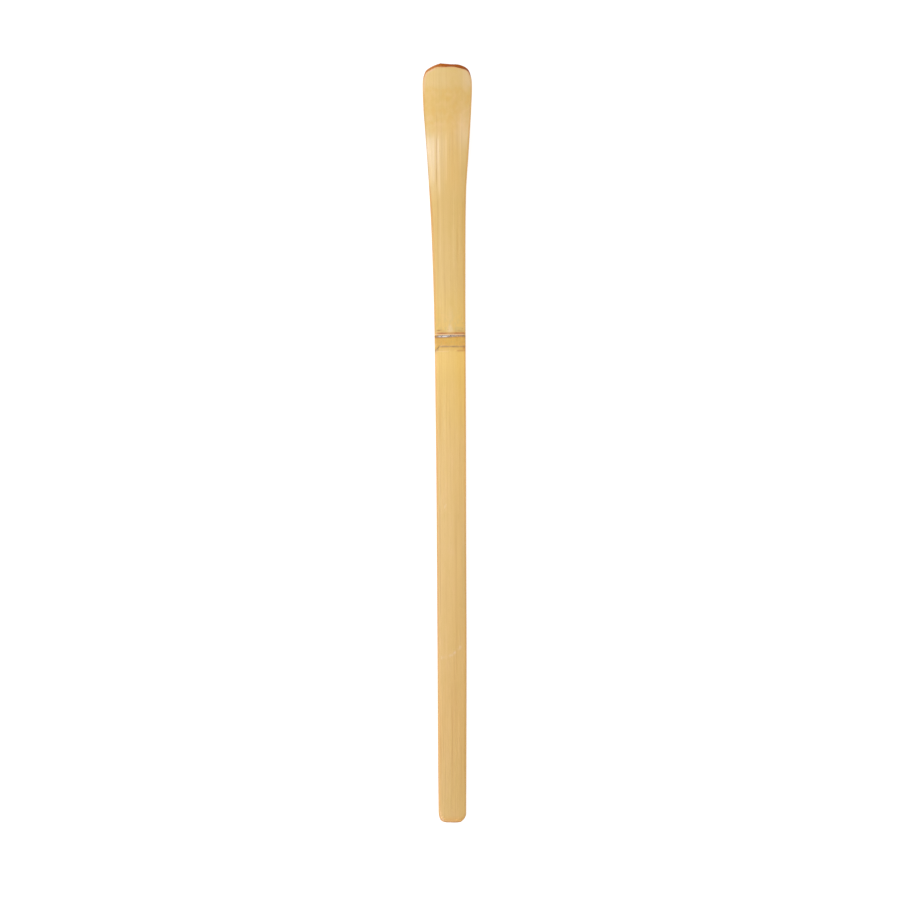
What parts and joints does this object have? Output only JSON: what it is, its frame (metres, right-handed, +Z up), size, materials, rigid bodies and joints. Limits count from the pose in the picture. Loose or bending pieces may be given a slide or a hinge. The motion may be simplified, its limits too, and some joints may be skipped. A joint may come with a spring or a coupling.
{
  "type": "bamboo tea scoop",
  "caption": "Slim carved bamboo tea scoop with a flat handle, a growth node, and a broad rounded blade that curls up to lift powdered tea.",
  "frame": {"origin": "on the surface that the scoop lies on, in the middle of its outline", "axes": "+Y along the scoop towards its tip, +Z up out of the outer skin, +X to the right seen from above"},
  "size_m": [0.0118, 0.1802, 0.0165],
  "materials": {
    "bamboo_skin": "satin natural outer skin of smoked white bamboo, fine lengthwise streaks",
    "bamboo_flesh": "knife-cut bamboo flesh, matt, with lengthwise fibre bundles",
    "bamboo_node": "dense cut bamboo node tissue, matt",
    "bamboo_node_skin": "satin ochre node skin, slightly ridged",
    "sheath_scar": "dry papery scar left by the culm sheath, grey and off-white"
  },
  "bodies": {
    "root": {"blade_flesh": "bamboo_flesh", "blade_skin": "bamboo_skin", "node_flesh": "bamboo_flesh", "node_diaphragm": "bamboo_node", "node_skin": "bamboo_node_skin", "sheath_scar": "sheath_scar", "handle_flesh": "bamboo_flesh", "handle_skin": "bamboo_skin"}
  },
  "joints": []
}
